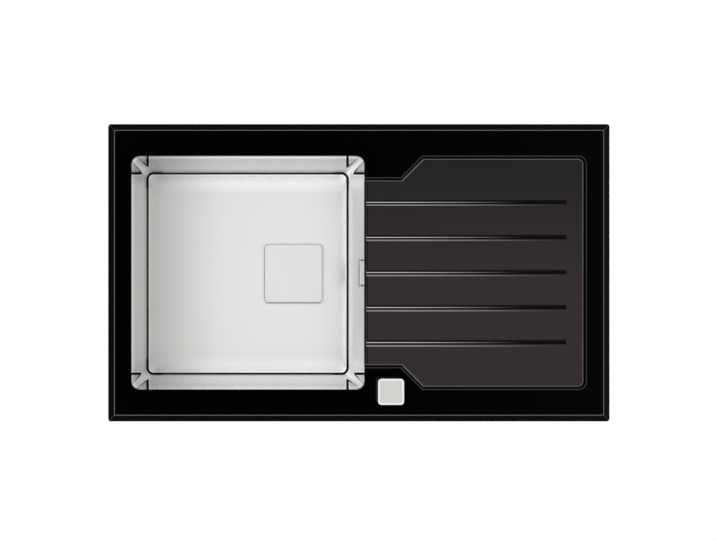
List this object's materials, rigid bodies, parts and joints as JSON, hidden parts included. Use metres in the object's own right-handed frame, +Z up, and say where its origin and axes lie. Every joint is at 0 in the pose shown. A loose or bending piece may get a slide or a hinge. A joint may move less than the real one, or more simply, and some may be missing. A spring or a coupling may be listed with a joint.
{
  "type": "inset kitchen sink",
  "caption": "Rectangular inset kitchen sink: bevelled black glass top with a grooved drainer, square steel bowl, square pop-up waste worked by a knob, overflow and worktop clips.",
  "frame": {"origin": "centre of the worktop cut-out, in the plane of the worktop's top surface, on which the seal rests", "axes": "+X along the sink from the bowl to the drainer, +Y to the back, +Z up"},
  "size_m": [0.86, 0.51, 0.3086],
  "materials": {
    "black_glass": "polished, toughened, opaque black",
    "foam": "closed-cell foam strip",
    "bowl_steel": "satin walls and brushed floor",
    "adhesive": "black adhesive",
    "damping": "bitumen damping sheet",
    "zinc_steel": "zinc plated",
    "black_rubber": "moulded seal",
    "pressed_steel": "satin pressed steel",
    "black_plastic": "fine moulded grain",
    "grey_plastic": "smooth moulded",
    "cable_sheath": "extruded sheath",
    "knob_steel": "satin face with polished edge",
    "cover_steel": "brushed face with polished edge"
  },
  "bodies": {
    "sink": {"glass_top": "black_glass", "worktop_seal": "foam", "bowl": "bowl_steel", "bowl_bond": "adhesive", "noise_pad_floor": "damping", "noise_pads_walls": "damping", "front_rail": "zinc_steel", "rear_rail": "zinc_steel", "left_rail": "zinc_steel", "right_rail": "zinc_steel", "rail_bonds": "adhesive", "clip_screws": "zinc_steel", "clip_nuts": "zinc_steel", "waste_top_seal": "black_rubber", "waste_gasket": "black_rubber", "waste_cup": "pressed_steel", "waste_body": "black_plastic", "waste_screws": "pressed_steel", "stem_guide": "black_plastic", "cable_bracket": "zinc_steel", "overflow_plate": "pressed_steel", "overflow_gasket": "black_rubber", "overflow_body": "black_plastic", "overflow_screw": "pressed_steel", "overflow_pipe": "grey_plastic", "pipe_nut_top": "black_plastic", "pipe_nut_low": "black_plastic", "knob_gasket": "black_rubber", "knob_base": "pressed_steel", "knob_washer": "black_plastic", "knob_nut": "black_plastic", "drum_housing": "black_plastic", "housing_lid": "black_plastic", "bowden_cable": "cable_sheath", "cable_ferrule": "zinc_steel", "cable_saddle": "black_plastic"},
    "knob_set": {"knob": "knob_steel", "knob_spindle": "pressed_steel", "cable_drum": "grey_plastic"},
    "cable_wire": {"inner_wire": "zinc_steel"},
    "lift_lever": {"lift_shaft": "pressed_steel", "lift_finger": "black_plastic", "cable_arm": "zinc_steel"},
    "plug": {"strainer_basket": "pressed_steel", "plug_seal": "black_rubber", "lift_stem": "pressed_steel"},
    "cover": {"square_cover": "cover_steel"},
    "clip_front_1": {"claw_front_1": "zinc_steel"},
    "clip_front_2": {"claw_front_2": "zinc_steel"},
    "clip_front_3": {"claw_front_3": "zinc_steel"},
    "clip_rear_1": {"claw_rear_1": "zinc_steel"},
    "clip_rear_2": {"claw_rear_2": "zinc_steel"},
    "clip_rear_3": {"claw_rear_3": "zinc_steel"},
    "clip_left_1": {"claw_left_1": "zinc_steel"},
    "clip_right_1": {"claw_right_1": "zinc_steel"}
  },
  "joints": [
    {"name": "knob_turn", "type": "hinge", "parent": "sink", "child": "knob_set", "pos_m": [0.053, -0.2025, 0.0095], "axis": [0, 0, 1], "range_deg": [0, 90]},
    {"name": "wire_pull", "type": "slide", "parent": "sink", "child": "cable_wire", "axis": [1, 0, 0], "range_m": [0, 0.00857]},
    {"name": "lever_turn", "type": "hinge", "parent": "sink", "child": "lift_lever", "pos_m": [-0.074, 0, -0.2423], "axis": [0, 1, 0], "range_deg": [0, 20.57]},
    {"name": "plug_lift", "type": "slide", "parent": "sink", "child": "plug", "axis": [0, 0, 1], "range_m": [0, 0.01]},
    {"name": "cover_lift_off", "type": "slide", "parent": "plug", "child": "cover", "axis": [0, 0, 1], "range_m": [0, 0.25]},
    {"name": "clip_swing_front_1", "type": "hinge", "parent": "sink", "child": "clip_front_1", "pos_m": [-0.32, -0.236, -0.046], "axis": [0, 0, -1], "range_deg": [0, 90]},
    {"name": "clip_swing_front_2", "type": "hinge", "parent": "sink", "child": "clip_front_2", "pos_m": [0, -0.236, -0.046], "axis": [0, 0, -1], "range_deg": [0, 90]},
    {"name": "clip_swing_front_3", "type": "hinge", "parent": "sink", "child": "clip_front_3", "pos_m": [0.32, -0.236, -0.046], "axis": [0, 0, -1], "range_deg": [0, 90]},
    {"name": "clip_swing_rear_1", "type": "hinge", "parent": "sink", "child": "clip_rear_1", "pos_m": [-0.32, 0.236, -0.046], "axis": [0, 0, 1], "range_deg": [0, 90]},
    {"name": "clip_swing_rear_2", "type": "hinge", "parent": "sink", "child": "clip_rear_2", "pos_m": [0, 0.236, -0.046], "axis": [0, 0, 1], "range_deg": [0, 90]},
    {"name": "clip_swing_rear_3", "type": "hinge", "parent": "sink", "child": "clip_rear_3", "pos_m": [0.32, 0.236, -0.046], "axis": [0, 0, 1], "range_deg": [0, 90]},
    {"name": "clip_swing_left_1", "type": "hinge", "parent": "sink", "child": "clip_left_1", "pos_m": [-0.411, 0, -0.046], "axis": [0, 0, 1], "range_deg": [0, 90]},
    {"name": "clip_swing_right_1", "type": "hinge", "parent": "sink", "child": "clip_right_1", "pos_m": [0.411, 0, -0.046], "axis": [0, 0, -1], "range_deg": [0, 90]}
  ],
  "couplings": [
    {"joint": "wire_pull", "follows": "knob_turn", "m_per_rad": 0.0054567},
    {"joint": "lever_turn", "follows": "knob_turn", "ratio": 0.22859},
    {"joint": "plug_lift", "follows": "knob_turn", "m_per_rad": 0.0063662}
  ]
}
